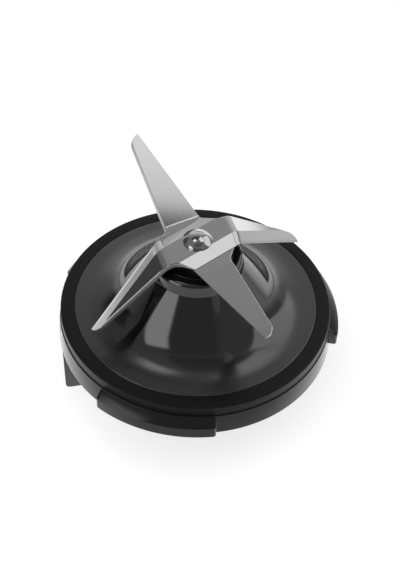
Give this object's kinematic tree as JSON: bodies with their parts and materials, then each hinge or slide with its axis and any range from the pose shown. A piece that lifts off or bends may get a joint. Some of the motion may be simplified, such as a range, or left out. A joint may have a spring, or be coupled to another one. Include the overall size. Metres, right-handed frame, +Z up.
{
  "type": "jug blender blade unit",
  "caption": "Blade unit of a jug blender: crossed steel blades on a spindle above a glossy bell-shaped dome, with a rubber rim seal and a twist-lock collar.",
  "frame": {"origin": "on the spindle axis, on the plane the drive sleeve stands on", "axes": "+Z up along the spindle towards the blades, -Y towards the viewer, +X to the picture's right"},
  "size_m": [0.0929, 0.0929, 0.0766],
  "materials": {
    "collar_plastic": "satin black moulded plastic",
    "dome_plastic": "glossy black moulded plastic",
    "seal_rubber": "matte black rubber",
    "blade_steel": "satin stainless sheet with ground edges",
    "polished_steel": "polished stainless",
    "turned_steel": "turned stainless",
    "housing_alloy": "dark turned alloy",
    "plated_steel": "zinc-plated steel",
    "spring_steel": "blackened spring steel",
    "washer_plastic": "white bearing plastic",
    "bush_bronze": "sintered bronze",
    "felt": "oil-soaked felt",
    "coupling_plastic": "dark grey moulded nylon"
  },
  "bodies": {
    "housing": {"base_collar": "collar_plastic", "dome_cover": "dome_plastic", "rim_seal": "seal_rubber", "bearing_housing": "housing_alloy", "housing_o_ring": "seal_rubber", "shaft_lip_seal": "seal_rubber", "housing_washer": "plated_steel", "housing_nut": "plated_steel", "upper_bush": "bush_bronze", "lower_bush": "bush_bronze", "oil_felt": "felt"},
    "rotor": {"spindle": "turned_steel", "blade_collar": "turned_steel", "lower_blade": "blade_steel", "upper_blade": "blade_steel", "cap_nut": "polished_steel", "thrust_washer": "washer_plastic", "retaining_clip": "spring_steel", "drive_coupling": "coupling_plastic", "spindle_nut": "plated_steel"}
  },
  "joints": [
    {"name": "blade_spin", "type": "hinge", "parent": "housing", "child": "rotor", "pos_m": [0, 0, 0.04], "axis": [0, 0, 1], "continuous": true}
  ]
}
